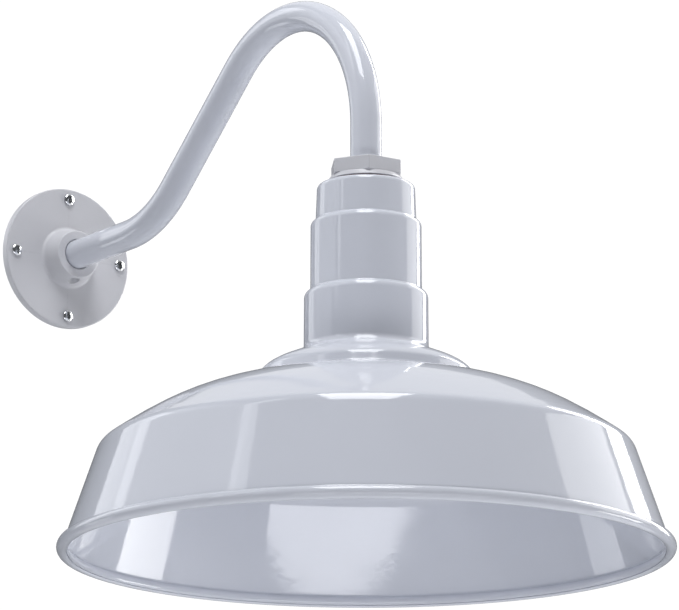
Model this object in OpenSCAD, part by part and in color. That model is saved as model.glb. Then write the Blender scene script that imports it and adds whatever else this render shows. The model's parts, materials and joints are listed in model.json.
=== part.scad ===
// Gooseneck barn light for an outside wall: cast wall plate, bent pipe arm,
// hub fitting, spun shade with a stepped neck, lampholder and lamp.
// Millimetres. The origin is the centre of the wall plate's back face, the wall
// is the plane Y = 0, the arm leaves the wall towards -Y and +Z is up.

/* [Wall plate] */
// Diameter of the round wall plate
plate_d = 105.4; // [102:0.2:116]
// Thickness of the plate at its edge
plate_t = 6; // [6:0.5:8]
// Diameter of the circle that the four wall screws stand on
screw_circle_d = 88.9; // [86:0.1:90]
// How far the boss stands out in front of the plate
boss_h = 15; // [14:0.5:20]
// Diameter of the boss's front face
boss_face_d = 35.6; // [33:0.2:37]
// Taper of the boss's side
boss_taper = 15; // [8:1:18]

/* [Arm] */
// Outside diameter of the arm's pipe
pipe_od = 21.34; // [20.6:0.02:21.4]
// Inside diameter of the arm's pipe
pipe_id = 15.8; // [14:0.2:16]
// Straight run from the plate's front face to the first bend
first_run = 85.5; // [75:0.5:110]
// Centreline radius of both bends
bend_r = 97; // [85:1:105]
// How steeply the middle run climbs
climb = 39.5; // [35:0.5:45]
// Length of the climbing run
climb_run = 107; // [90:1:130]
// Height of the arm's axis at the wall above the shade's rim plane
rim_drop = 279.2; // [278:0.2:290]

/* [Shade] */
// Outside diameter of the rim, over its rolled bead
rim_d = 413.1; // [410:0.1:420]
// Lean of the skirt from the vertical
skirt_lean = 18.9; // [18:0.1:20]
// Height of the flat top of the neck above the rim plane
neck_top = 251; // [250:0.5:252]
// Thickness of the spun sheet
sheet_t = 1; // [0.8:0.1:1.2]
// Radius of the rolled bead round the rim
bead_r = 4.2; // [3.6:0.1:4.6]

/* [Hub fitting] */
// Width across the corners of the hexagon
hex_corners = 52.4; // [50:0.2:53]
// Height of the hexagon
hex_h = 9.8; // [8:0.2:12]
// Largest diameter of the round flange under the hexagon
flange_d = 52.8; // [50:0.2:56]
// Height of the flange
flange_h = 3.8; // [3:0.2:6]

/* [Lampholder and lamp] */
// Height of the lampholder's mouth above the rim plane
holder_mouth = 152; // [148:1:156]
// Outside diameter of the porcelain body
holder_d = 45; // [44:0.5:48]
// Diameter of the lamp's screw shell
lamp_shell_d = 26; // [25.8:0.1:26.2]
// Diameter of the lamp's globe
lamp_d = 60; // [54:1:64]
// Length of the lamp from its tip to the bottom of its globe
lamp_len = 107; // [100:1:115]

/* [Hidden] */
$fn = 96;
skin = 0.01;             // how far a cutter runs past a face
facet = 6;               // degrees between two points of a turned arc

// Wall plate
boss_face = plate_t + boss_h;
boss_edge_r = 1;
boss_fillet_r = 3;
plate_edge_r = 1.2;
gasket_t = 1.5;
gasket_in_r = 40;
gasket_out_r = 50.4;
recess_r = 38;
recess_depth = 3.4;
pocket_r = 15.5;
pocket_depth = 8;
pipe_clear = 0.05;
mouth_r = pipe_od / 2 + 0.7;
mouth_depth = 1.6;

// Wall screws, number 8 pan heads with a cross recess
screw_count = 4;
screw_r = 2.08;
screw_neck_r = 1.9;
screw_hole_r = 2.4;
screw_head_r = 4.15;
screw_head_h = 2.7;
screw_head_ball = 5.6;
screw_len = 14.3;
cross_w = 1.1;
cross_span = 4.4;
cross_depth = 1.4;

// Ground screw in the plate's back
ground_x = -27;
ground_z = -19;
ground_post_r = 4.4;
ground_post_s = 2.6;
ground_screw_r = 1.75;
ground_head_r = 3.4;
ground_head_h = 1.9;
ground_depth = 5;
ground_slot_end = 1.6;

// Set screw under the boss
set_s = plate_t + 9;
set_r = 3;
set_tip = pipe_od / 2 + 0.3;
set_end = 15;
set_mouth_r = 4.6;
set_mouth = 19.4;
set_point = 1;
set_flare_gap = 0.6;
set_key_r = 1.75;
set_key_depth = 2.6;

// Arm: the bends are a hair fuller than the straight pipe, which runs on into them
swell = 0.06;
lap = 0.5;
arm_start = 6;
hub_socket = 14;

// Hub fitting, its heights above the rim plane
hub_gasket_t = 1.8;
flange_base = neck_top + hub_gasket_t;
hex_base = flange_base + flange_h;
hub_top = hex_base + hex_h;
flange_top_d = 48.6;
spigot_r = 13;
spigot_end = neck_top - 12.5;
wire_bore_r = 8;
neck_hole_r = 13.3;
gasket_r = 25.8;
neck_corner_r = 29.8;    // where the neck's flat top starts to turn down

// Arm route in the plane of the arm: distance from the wall, height, heading
arm_begin = [arm_start, 0, 0];
arm_moves_free = [
    ["line", plate_t + first_run - arm_start],
    ["arc", bend_r, climb],
    ["line", climb_run],
    ["arc", bend_r, -(90 + climb)]
];
arch_end = final(arm_begin, arm_moves_free);
reach = arch_end[0];
pipe_end = hub_top - hub_socket - rim_drop;
arm_moves = concat(arm_moves_free, [["line", arch_end[1] - pipe_end]]);

// Shade outside, from the edge of the neck's hole out and down to the rim:
// a line has a length, an arc has a radius and a turn (minus bulges outwards)
dome_moves = [
    // First tier
    ["line", neck_corner_r - neck_hole_r],
    ["arc", 3.5, -87.8],
    ["line", 21.2],
    // Second tier
    ["arc", 1, 67.8],
    ["arc", 4.2, -69.8],
    ["line", 43.8],
    // Third tier
    ["arc", 1.2, 69.8],
    ["arc", 5.2, -69.7],
    ["line", 32.2],
    // Collar
    ["arc", 6, 67.7],
    ["line", 14],
    ["arc", 50, -9],
    ["arc", 22, -17],
    ["arc", 6, -24],
    ["line", 4.3],
    // Dome
    ["arc", 2, 62],
    ["arc", 265, -8.6],
    ["arc", 190, -10.4],
    ["arc", 330, -5]
];
shade_begin = [neck_hole_r, neck_top, 0];
dome_end = final(shade_begin, dome_moves);

// The dome runs on until its shoulder and skirt come down onto the middle of the bead
shoulder_r = 13;
shoulder_move = ["arc", shoulder_r, skirt_lean - 90 - dome_end[2]];
bead_centre = [rim_d / 2 - bead_r, 0];
skirt_foot_r = bead_centre[0] + sheet_t / 2 / cos(skirt_lean);
skirt_trial = moved(dome_end, shoulder_move);
dome_run = (skirt_foot_r - skirt_trial[0] - skirt_trial[1] * tan(skirt_lean))
    / (cos(dome_end[2]) + sin(dome_end[2]) * tan(skirt_lean));
skirt_top = skirt_trial[1] + dome_run * sin(dome_end[2]);
skirt_len = skirt_top / cos(skirt_lean) - bead_r + sheet_t / 2;
shade_moves = concat(dome_moves, [["line", dome_run], shoulder_move, ["line", skirt_len]]);
bead_gap = 1;

// Bracket, washer and locknut inside the neck
bracket_t = 1.5;
bracket_w = 16;
bracket_disc_r = 19.5;
bracket_x = 22;
bracket_top = neck_top - sheet_t;
bracket_foot = 184;
washer_t = 1.2;
washer_r = 18.5;
washer_teeth = 12;
washer_notch = 1.8;
washer_notch_w = 1.4;
washer_top = bracket_top - bracket_t;
nut_top = washer_top - washer_t;
nut_h = 6;
nut_r = 20.4;
bracket_screw_z = 192;
bracket_screw_r = 2.05;
bracket_head_r = 3.5;
bracket_head_h = 2.2;
bracket_screw_in = 16.5;
bracket_cross_span = 3.8;
bracket_cross_w = 0.9;
bracket_cross_depth = 1;

// Lampholder
holder_h = 50;
holder_top = holder_mouth + holder_h;
holder_bore_r = 14;
holder_bore_depth = 30;
holder_chamfer = 2;
holder_edge = 0.8;
flat_cut = 10;           // cutter for the flats that the bracket's legs lie on
flat_gap = 2;
shell_t = 0.5;
shell_lip_r = 7.5;
shell_inset = 2;         // how far the screw shell stays above the holder's mouth
tip_clear = 0.3;
tip_depth = 26.3;
tip_z = holder_mouth + tip_depth;
contact_r = 5;
contact_t = 1;
rivet_r = 2.5;
rivet_head_r = 3.8;
rivet_head_h = 1;
terminal_y = 14;
terminal_r = 1.8;
terminal_depth = 8;
terminal_head_r = 3.6;
terminal_head_h = 2.4;
terminal_slot_depth = 1;
slot_w = 0.9;

// Lamp, its depths below the tip
lamp_tip_r = 4.6;
lamp_tip_h = 1.4;
insulator_end = 4.4;
insulator_lip = 0.6;
insulator_r = 11;
shell_end = 27;
collar_r = 14.6;
collar_h = 3;
globe_r = lamp_d / 2;
globe_centre = lamp_len - globe_r;
globe_rise = 13;         // from the globe's open rim to its centre
globe_cut = globe_centre - globe_rise;
globe_wall = 1.2;
body_top_r = sqrt(globe_r * globe_r - globe_rise * globe_rise);
board_t = 1.6;
board_inset = 3;
board_r = body_top_r - board_inset;
plug_h = 6;              // how far the body plugs into the screw shell

// Leads
lead_r = 1.2;
lead_sides = 8;
lead_facet = 8;
lead_offset = 2.2;
lead_start = 9;          // from the pipe's end to where a lead runs beside the axis
lead_angles = [90, 210, 330];

// A lead's tail in the recess: distance from the axis, distance from the wall
lead_tail = [[25, 1.9], [18, 1.9], [12.5, 2.1], [9.5, 2.6], [7, 3.3], [5, 4.6], [3.6, 6.6],
    [2.6, 9.5]];

// Each lead's end inside the neck: right, out from the wall, height above the rim plane
line_end = [[0, 2.6, 236], [0, 4, 226], [0, 6.6, 216], [0, 8.6, 209.5], [0, 9, 203.4]];
neutral_end = [[-1.9, -1.5, 236], [-1.5, -3.6, 226], [-0.8, -6.4, 216], [-0.2, -8.5, 209.5],
    [0, -9, 203.4]];
ground_end = [[2.1, -1.1, 236], [4, -1, 228], [8.6, -0.6, 219], [14, -0.2, 211.5], [19, 0, 207],
    [20.7, 0, 204]];

// One move of a route: state = [along, up, heading]
function moved(s, m) =
    m[0] == "line"
    ? [s[0] + m[1] * cos(s[2]), s[1] + m[1] * sin(s[2]), s[2]]
    : turned(s, m[1], m[2]);

// A route's state after it has turned through an arc of radius r
function turned(s, r, turn) =
    let (side = sign(turn), h = s[2] + turn)
    [s[0] + side * r * (sin(h) - sin(s[2])), s[1] + side * r * (cos(s[2]) - cos(h)), h];

// The state at the end of a list of moves
function final(s, moves, i = 0) =
    i == len(moves) ? s : final(moved(s, moves[i]), moves, i + 1);

// Every state along a list of moves, arcs in steps of about "fine" degrees
function walk(s, moves, fine, i = 0) =
    i == len(moves)
    ? [s]
    : concat(passed(s, moves[i], fine), walk(moved(s, moves[i]), moves, fine, i + 1));
function passed(s, m, fine) =
    m[0] == "line"
    ? [s]
    : let (n = ceil(abs(m[2]) / fine)) [for (k = [0:n - 1]) turned(s, m[1], m[2] * k / n)];

// Outline of a sheet of thickness t whose outside follows the states
function sheet_outline(states, t) = concat(
    [for (s = states) [s[0] + t * sin(s[2]), s[1] - t * cos(s[2])]],
    [for (k = [len(states) - 1:-1:0]) [states[k][0], states[k][1]]]
);

// Local frames: Z out from the wall; the plane of the arm; heights above the rim
module off_wall() rotate([90, 0, 0]) children();
module arm_plane() rotate([90, 0, -90]) children();
module on_head() translate([0, -reach, -rim_drop]) children();
module below_tip() on_head() translate([0, 0, tip_z - tip_clear]) mirror([0, 0, 1]) children();

module ring(outer, inner, h) {
    difference() {
        cylinder(r = outer, h = h);
        translate([0, 0, -1]) cylinder(r = inner, h = h + 2);
    }
}

// ---- Wall plate -------------------------------------------------------------

boss_face_flat = boss_face_d / 2 - boss_edge_r;
boss_side = (boss_h - boss_edge_r * (1 - sin(boss_taper)) - boss_fillet_r * (1 - sin(boss_taper)))
    / cos(boss_taper);
boss_moves = [
    ["line", boss_face_flat],
    ["arc", boss_edge_r, boss_taper - 90],
    ["line", boss_side],
    ["arc", boss_fillet_r, 90 - boss_taper]
];
boss_foot_r = final([0, boss_face, 0], boss_moves)[0];
plate_moves = concat(boss_moves, [
    ["line", plate_d / 2 - plate_edge_r - boss_foot_r],
    ["arc", plate_edge_r, -90],
    ["line", plate_t - plate_edge_r]
]);

module plate_solid() {
    states = walk([0, boss_face, 0], plate_moves, facet);
    rotate_extrude() polygon(concat([[0, 0]], [for (s = states) [s[0], s[1]]]));
}

module on_screw_circle() {
    for (k = [0:screw_count - 1]) rotate(90 * k) translate([screw_circle_d / 2, 0, 0]) children();
}

module wall_plate() {
    color("#d3d5da") off_wall() difference() {
        union() {
            difference() {
                plate_solid();
                translate([0, 0, -1]) cylinder(r = recess_r, h = recess_depth + 1);
            }
            translate([ground_x, ground_z, ground_post_s]) cylinder(r = ground_post_r, h = 1);
        }
        translate([0, 0, -skin]) ring(gasket_out_r, gasket_in_r, gasket_t + skin);
        translate([0, 0, -1]) cylinder(r = pocket_r, h = pocket_depth + 1);
        cylinder(r = pipe_od / 2 + pipe_clear, h = boss_face + 1);
        translate([0, 0, boss_face - mouth_depth]) cylinder(r = mouth_r, h = mouth_depth + 1);
        translate([0, 0, -1]) on_screw_circle() cylinder(r = screw_hole_r, h = plate_t + 2);
        translate([ground_x, ground_z, 0]) cylinder(r = ground_screw_r, h = ground_depth);
        translate([0, 0, set_s]) rotate([90, 0, 0]) {
            cylinder(r = set_r, h = boss_face_d);
            translate([0, 0, set_end + set_flare_gap])
                cylinder(r1 = set_r, r2 = set_mouth_r, h = set_mouth - set_end - set_flare_gap);
            translate([0, 0, set_mouth]) cylinder(r = set_mouth_r, h = boss_face_d);
        }
    }
}

module wall_gasket() {
    color("#2d2d2f") off_wall() difference() {
        ring(gasket_out_r, gasket_in_r, gasket_t);
        translate([0, 0, -1]) on_screw_circle() cylinder(r = screw_hole_r, h = gasket_t + 2);
    }
}

module cross_recess(span, w, depth) {
    for (turn = [0, 90]) rotate(turn) translate([-span / 2, -w / 2, 0]) cube([span, w, depth + 1]);
}

module wall_screw() {
    translate([0, 0, plate_t - screw_len]) cylinder(r = screw_r, h = screw_len - plate_t);
    cylinder(r = screw_neck_r, h = plate_t);
    translate([0, 0, plate_t]) difference() {
        intersection() {
            cylinder(r = screw_head_r, h = screw_head_h);
            translate([0, 0, screw_head_h - screw_head_ball]) sphere(r = screw_head_ball);
        }
        translate([0, 0, screw_head_h - cross_depth]) cross_recess(cross_span, cross_w, cross_depth);
    }
}

module wall_screws() {
    color("#c9ccd0") off_wall() on_screw_circle() wall_screw();
}

module ground_screw() {
    color("#3f9a52") off_wall() translate([ground_x, ground_z, 0]) {
        translate([0, 0, ground_post_s]) cylinder(r = ground_screw_r, h = ground_depth - ground_post_s);
        difference() {
            translate([0, 0, ground_post_s - ground_head_h]) cylinder(r = ground_head_r, h = ground_head_h);
            translate([-ground_head_r - 1, -slot_w / 2, 0])
                cube([2 * ground_head_r + 2, slot_w, ground_slot_end]);
        }
    }
}

module arm_set_screw() {
    color("#55585c") off_wall() translate([0, 0, set_s]) rotate([90, 0, 0]) difference() {
        union() {
            translate([0, 0, set_tip]) cylinder(r1 = set_r - set_point, r2 = set_r, h = set_point);
            translate([0, 0, set_tip + set_point])
                cylinder(r = set_r, h = set_end - set_tip - set_point);
        }
        translate([0, 0, set_end - set_key_depth]) cylinder(r = set_key_r, h = set_key_depth + 1, $fn = 6);
    }
}

// ---- Arm --------------------------------------------------------------------

module straight_pipe(s, length) {
    translate([s[0], s[1], 0]) rotate([0, 0, s[2]]) translate([-lap, 0, 0]) rotate([0, 90, 0])
        ring(pipe_od / 2, pipe_id / 2, length + 2 * lap);
}

module bent_pipe(s, r, turn) {
    side = sign(turn);
    translate([s[0] - side * r * sin(s[2]), s[1] + side * r * cos(s[2]), 0])
        rotate([0, 0, min(s[2] - side * 90, s[2] - side * 90 + turn)])
            rotate_extrude(angle = abs(turn)) translate([r, 0]) difference() {
                circle(r = pipe_od / 2 + swell);
                circle(r = pipe_id / 2 - swell);
            }
}

module gooseneck_arm() {
    color("#dfe1e8") arm_plane() for (k = [0:len(arm_moves) - 1]) {
        from = final(arm_begin, [for (j = [0:1:k - 1]) arm_moves[j]]);
        if (arm_moves[k][0] == "line") straight_pipe(from, arm_moves[k][1]);
        else bent_pipe(from, arm_moves[k][1], arm_moves[k][2]);
    }
}

// Snap-in bushing that keeps the leads off the pipe's cut end
bushing_wall = 1.1;
bushing_lip = 0.8;
bushing_lip_r = 9.8;
bushing_len = 9;

module wire_bushing() {
    color("#e9e6da") off_wall() translate([0, 0, arm_start - lap]) difference() {
        union() {
            translate([0, 0, -bushing_lip]) cylinder(r = bushing_lip_r, h = bushing_lip);
            cylinder(r = pipe_id / 2, h = bushing_len);
        }
        translate([0, 0, -1]) cylinder(r = pipe_id / 2 - bushing_wall, h = bushing_len + 2);
    }
}

// ---- Hub fitting and shade --------------------------------------------------

module hub_fitting() {
    color("#d9dbe1") on_head() difference() {
        union() {
            translate([0, 0, hex_base]) cylinder(r = hex_corners / 2, h = hex_h, $fn = 6);
            translate([0, 0, flange_base])
                cylinder(r1 = flange_d / 2, r2 = flange_top_d / 2, h = flange_h);
            translate([0, 0, spigot_end]) cylinder(r = spigot_r, h = hub_top - spigot_end - hex_h);
        }
        translate([0, 0, hub_top - hub_socket - lap])
            cylinder(r = pipe_od / 2, h = hub_socket + lap + 1);
        translate([0, 0, spigot_end - 1]) cylinder(r = wire_bore_r, h = hub_socket + hub_top);
    }
}

module hub_gasket() {
    color("#6e4a44") on_head() translate([0, 0, neck_top]) ring(gasket_r, spigot_r, hub_gasket_t);
}

module shade() {
    states = walk(shade_begin, shade_moves, facet);
    color("#e3e5ec") on_head() rotate_extrude() {
        polygon(sheet_outline(states, sheet_t));
        translate(bead_centre) difference() {
            circle(r = bead_r);
            circle(r = bead_r - sheet_t);
            rotate(-135) translate([0, -bead_gap / 2]) square([2 * bead_r, bead_gap]);
        }
    }
}

// ---- Inside the neck --------------------------------------------------------

module socket_bracket() {
    color("#b9bcc0") on_head() difference() {
        union() {
            translate([0, 0, bracket_top - bracket_t]) cylinder(r = bracket_disc_r, h = bracket_t);
            translate([-bracket_x - bracket_t, -bracket_w / 2, bracket_top - bracket_t])
                cube([2 * (bracket_x + bracket_t), bracket_w, bracket_t]);
            for (side = [-1, 1]) translate([side * (bracket_x + bracket_t / 2) - bracket_t / 2,
                -bracket_w / 2, bracket_foot]) cube([bracket_t, bracket_w, bracket_top - bracket_foot]);
        }
        translate([0, 0, bracket_top - bracket_t - 1]) cylinder(r = neck_hole_r, h = bracket_t + 2);
        translate([-bracket_x - 2 * bracket_t, 0, bracket_screw_z]) rotate([0, 90, 0])
            cylinder(r = bracket_screw_r, h = 2 * bracket_x + 4 * bracket_t);
    }
}

module lock_washer() {
    color("#c4c6c9") on_head() translate([0, 0, nut_top]) difference() {
        ring(washer_r, neck_hole_r, washer_t);
        for (k = [0:washer_teeth - 1]) rotate(360 * k / washer_teeth)
            translate([washer_r - washer_notch, -washer_notch_w / 2, -1])
                cube([washer_notch + 1, washer_notch_w, washer_t + 2]);
    }
}

module hub_locknut() {
    color("#c0c2c5") on_head() translate([0, 0, nut_top - nut_h]) difference() {
        cylinder(r = nut_r, h = nut_h, $fn = 6);
        translate([0, 0, -1]) cylinder(r = spigot_r, h = nut_h + 2);
    }
}

module bracket_screws() {
    color("#c9ccd0") on_head() for (side = [-1, 1]) scale([side, 1, 1])
        translate([0, 0, bracket_screw_z]) rotate([0, 90, 0]) {
            translate([0, 0, bracket_screw_in])
                cylinder(r = bracket_screw_r, h = bracket_x + bracket_t - bracket_screw_in);
            translate([0, 0, bracket_x + bracket_t]) difference() {
                cylinder(r = bracket_head_r, h = bracket_head_h);
                translate([0, 0, bracket_head_h - bracket_cross_depth])
                    cross_recess(bracket_cross_span, bracket_cross_w, bracket_cross_depth);
            }
        }
}

module socket_body() {
    body_r = holder_d / 2;
    color("#f0efe9") on_head() difference() {
        translate([0, 0, holder_mouth]) rotate_extrude() polygon([
            [0, 0], [body_r - holder_edge, 0], [body_r, holder_edge], [body_r, holder_h - holder_chamfer],
            [body_r - holder_chamfer, holder_h], [0, holder_h]
        ]);
        for (side = [-1, 1])
            translate([side * (bracket_x + flat_cut / 2) - flat_cut / 2, -body_r, bracket_foot - flat_gap])
                cube([flat_cut, 2 * body_r, holder_h]);
        translate([0, 0, holder_mouth - 1]) cylinder(r = holder_bore_r, h = holder_bore_depth + 1);
        cylinder(r = rivet_r, h = holder_top + 1);
        for (side = [-1, 1]) {
            translate([0, side * terminal_y, holder_top - terminal_depth])
                cylinder(r = terminal_r, h = terminal_depth + 1);
            translate([side * bracket_screw_in, 0, bracket_screw_z]) rotate([0, side * 90, 0])
                cylinder(r = bracket_screw_r, h = flat_cut);
        }
    }
}

module socket_shell() {
    color("#c9b27a") on_head() translate([0, 0, holder_mouth + holder_bore_depth]) mirror([0, 0, 1])
        difference() {
            cylinder(r = holder_bore_r, h = holder_bore_depth - shell_inset);
            translate([0, 0, shell_t]) cylinder(r = holder_bore_r - shell_t, h = holder_bore_depth);
            translate([0, 0, -1]) cylinder(r = shell_lip_r, h = 3);
        }
}

module socket_contact() {
    color("#cfa75a") on_head() {
        translate([0, 0, tip_z]) cylinder(r = contact_r, h = contact_t);
        translate([0, 0, tip_z + contact_t])
            cylinder(r = rivet_r, h = holder_top + rivet_head_h - tip_z - contact_t);
        translate([0, 0, holder_top]) cylinder(r = rivet_head_r, h = rivet_head_h);
    }
}

module terminal_screws() {
    color("#c8a050") on_head() for (side = [-1, 1])
        translate([0, side * terminal_y, holder_top]) difference() {
            union() {
                translate([0, 0, -terminal_depth]) cylinder(r = terminal_r, h = terminal_depth);
                cylinder(r = terminal_head_r, h = terminal_head_h);
            }
            translate([-terminal_head_r - 1, -slot_w / 2, terminal_head_h - terminal_slot_depth])
                cube([2 * terminal_head_r + 2, slot_w, terminal_slot_depth + 1]);
        }
}

// ---- Leads ------------------------------------------------------------------

function unit(v) = v / norm(v);

// Points and faces of a round tube through a list of points
function tube_points(p, r, sides) = [
    for (k = [0:len(p) - 1])
        let (
            ahead = unit(p[min(k + 1, len(p) - 1)] - p[max(k - 1, 0)]),
            across = unit(cross(ahead, [1, 0, 0])),
            third = cross(ahead, across)
        )
        for (j = [0:sides - 1])
            p[k] + r * (cos(360 * j / sides) * across + sin(360 * j / sides) * third)
];
function tube_faces(rings, sides) = concat(
    [[for (j = [0:sides - 1]) j]],
    [for (k = [0:rings - 2]) for (j = [0:sides - 1])
        let (a = k * sides + j, b = k * sides + (j + 1) % sides) [a, a + sides, b + sides, b]],
    [[for (j = [sides - 1:-1:0]) (rings - 1) * sides + j]]
);

// A lead's route: out of the plate's recess, through the arm, down to its terminal
function lead_route(angle, terminal) = concat(
    [for (t = lead_tail) [t[0] * cos(angle), -t[1], t[0] * sin(angle)]],
    [for (s = walk([arm_start + lead_start, 0, 0], lead_moves, lead_facet))
        [lead_offset * cos(angle), -s[0] + lead_offset * sin(angle) * sin(s[2]),
            s[1] + lead_offset * sin(angle) * cos(s[2])]],
    [for (t = terminal) [t[0], -reach - t[1], t[2] - rim_drop]]
);
lead_moves = concat([["line", plate_t + first_run - arm_start - lead_start]],
    [for (k = [1:len(arm_moves) - 1]) arm_moves[k]]);

module lead(angle, terminal) {
    route = lead_route(angle, terminal);
    polyhedron(
        points = tube_points(route, lead_r, lead_sides),
        faces = tube_faces(len(route), lead_sides)
    );
}

module line_lead() color("#262626") lead(lead_angles[0], line_end);
module neutral_lead() color("#e8e8e4") lead(lead_angles[1], neutral_end);
module ground_lead() color("#2f8f46") lead(lead_angles[2], ground_end);

// ---- Lamp, drawn downwards from its tip -------------------------------------

module lamp_insulator() {
    color("#23242a") below_tip() difference() {
        translate([0, 0, lamp_tip_h / 2])
            cylinder(r1 = lamp_tip_r + insulator_lip, r2 = insulator_r, h = insulator_end - lamp_tip_h / 2);
        cylinder(r = lamp_tip_r, h = lamp_tip_h);
    }
}

module lamp_contact() {
    color("#b8babd") below_tip() cylinder(r = lamp_tip_r, h = lamp_tip_h);
}

module lamp_shell() {
    shell_r = lamp_shell_d / 2;
    color("#c6c8cb") below_tip() translate([0, 0, insulator_end]) difference() {
        cylinder(r = shell_r, h = shell_end - insulator_end);
        translate([0, 0, shell_t]) cylinder(r = shell_r - shell_t, h = shell_end);
    }
}

module lamp_body() {
    plug_r = lamp_shell_d / 2 - shell_t;
    color("#f2f2f0") below_tip() rotate_extrude() polygon([
        [0, shell_end - plug_h], [plug_r, shell_end - plug_h], [plug_r, shell_end],
        [collar_r, shell_end], [collar_r, shell_end + collar_h], [body_top_r, globe_cut], [0, globe_cut]
    ]);
}

module lamp_board() {
    color("#e6e7e4") below_tip() translate([0, 0, globe_cut]) cylinder(r = board_r, h = board_t);
}

module lamp_globe() {
    color("#fafafa") below_tip() difference() {
        translate([0, 0, globe_centre]) sphere(r = globe_r);
        translate([0, 0, globe_centre]) sphere(r = globe_r - globe_wall);
        translate([0, 0, -1]) cylinder(r = lamp_d, h = globe_cut + 1);
    }
}

wall_plate();
wall_gasket();
wall_screws();
ground_screw();
arm_set_screw();
gooseneck_arm();
wire_bushing();
hub_fitting();
hub_gasket();
shade();
socket_bracket();
lock_washer();
hub_locknut();
bracket_screws();
socket_body();
socket_shell();
socket_contact();
terminal_screws();
line_lead();
neutral_lead();
ground_lead();
lamp_insulator();
lamp_contact();
lamp_shell();
lamp_body();
lamp_board();
lamp_globe();
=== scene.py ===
"""Looks of the gooseneck barn light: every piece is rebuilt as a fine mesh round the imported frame.

Shapes are drawn in millimetres in their own local frame, placed, and turned into metres by make().
"""
import json
import math

import bmesh
import bpy
from mathutils import Matrix, Vector


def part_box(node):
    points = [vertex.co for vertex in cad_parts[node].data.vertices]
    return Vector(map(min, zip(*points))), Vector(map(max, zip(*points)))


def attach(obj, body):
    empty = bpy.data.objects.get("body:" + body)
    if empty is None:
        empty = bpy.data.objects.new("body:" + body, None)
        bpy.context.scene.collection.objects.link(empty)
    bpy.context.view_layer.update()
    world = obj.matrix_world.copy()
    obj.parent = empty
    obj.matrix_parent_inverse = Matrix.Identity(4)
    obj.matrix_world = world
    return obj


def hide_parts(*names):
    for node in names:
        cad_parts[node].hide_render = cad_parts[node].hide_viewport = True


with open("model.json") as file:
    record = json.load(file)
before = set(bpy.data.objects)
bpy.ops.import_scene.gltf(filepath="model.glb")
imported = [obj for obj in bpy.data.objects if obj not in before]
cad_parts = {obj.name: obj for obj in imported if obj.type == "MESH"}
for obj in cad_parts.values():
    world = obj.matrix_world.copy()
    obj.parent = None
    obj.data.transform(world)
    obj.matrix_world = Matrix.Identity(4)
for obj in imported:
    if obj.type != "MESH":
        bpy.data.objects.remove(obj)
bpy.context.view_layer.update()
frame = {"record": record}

# ---- Sizes in millimetres ---------------------------------------------------

MM = 0.001
TAU = 2 * math.pi
TINY = 1e-6

NECK_TOP = 251              # heights on the head are above the rim plane
SHEET_T = 1
BEAD_R = 4.2
SKIRT_LEAN = 18.9
SHOULDER_R = 13
NECK_HOLE_R = 13.3

shade_low, shade_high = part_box("shade")
RIM_R = (shade_high.x - shade_low.x) / 2 / MM
HEAD = Vector((0, (shade_low.y + shade_high.y) / 2, shade_high.z)) / MM - Vector((0, 0, NECK_TOP))

plate_low, plate_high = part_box("wall_plate")
PLATE_R = (plate_high.x - plate_low.x) / 2 / MM
BOSS_FACE = -plate_low.y / MM
PLATE_T = BOSS_FACE - 15
SCREW_CIRCLE_R = 44.45
PIPE_R = 10.67
PIPE_IN_R = 7.9
BEND_R = 97
CLIMB = 39.5
CLIMB_RUN = 107
FIRST_RUN = 85.5
ARM_START = 6
GASKET_TOP = 252.8
HEX_BASE = 256.6
HUB_TOP = 266.4
HUB_SOCKET = 14
SPIGOT_R = 13
SPIGOT_END = 238.5

HOLDER_MOUTH = 152
HOLDER_R = 22.5
HOLDER_H = 50
TIP_Z = 178.3
BRACKET_X = 22
BRACKET_SCREW_Z = 192
TERMINAL_Y = 14

# Local frames: Z out from the wall, heights above the rim, the ground screw's and the set screw's
# places in the plate, and depths below the lamp's tip
OFF_WALL = Matrix.Rotation(TAU / 4, 4, "X")
ON_HEAD = Matrix.Translation(HEAD)
GROUND = Matrix.Translation((-27, -19, 0))
SET_SCREW_WAY = Matrix.Translation((0, 0, PLATE_T + 9)) @ Matrix.Rotation(TAU / 4, 4, "X")
BELOW_TIP = ON_HEAD @ Matrix.Translation((0, 0, TIP_Z - 0.3)) @ Matrix.Diagonal((1, 1, -1, 1))

BODY_OF = {node: body for body, nodes in frame["record"]["behaviour"]["bodies"].items() for node in nodes}


# ---- Routes: a state is (along, up, heading in degrees) -----------------------

def turned(state, radius, turn):
    side = math.copysign(1, turn)
    was, now = math.radians(state[2]), math.radians(state[2] + turn)
    return (
        state[0] + side * radius * (math.sin(now) - math.sin(was)),
        state[1] + side * radius * (math.cos(was) - math.cos(now)),
        state[2] + turn,
    )


def ahead(state, length):
    heading = math.radians(state[2])
    return (state[0] + length * math.cos(heading), state[1] + length * math.sin(heading), state[2])


def walked(state, moves, fine=4.0, guard=0.4):
    """States along the moves. Arcs are stepped finely, and lines keep a point close to each end."""
    states = [state]
    for move in moves:
        if move[0] == "line":
            near = min(guard, move[1] / 4)
            states += [ahead(state, near), ahead(state, move[1] - near)]
            state = ahead(state, move[1])
        else:
            steps = max(2, math.ceil(abs(move[2]) / fine))
            states += [turned(state, move[1], move[2] * k / steps) for k in range(1, steps)]
            state = turned(state, move[1], move[2])
        states.append(state)
    return states


def arc(centre, radius, start, end, fine=8.0):
    """Points on a circle from one angle to another, in degrees."""
    steps = max(2, math.ceil(abs(end - start) / fine))
    angles = [math.radians(start + (end - start) * k / steps) for k in range(steps + 1)]
    return [(centre[0] + radius * math.cos(a), centre[1] + radius * math.sin(a)) for a in angles]


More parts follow.
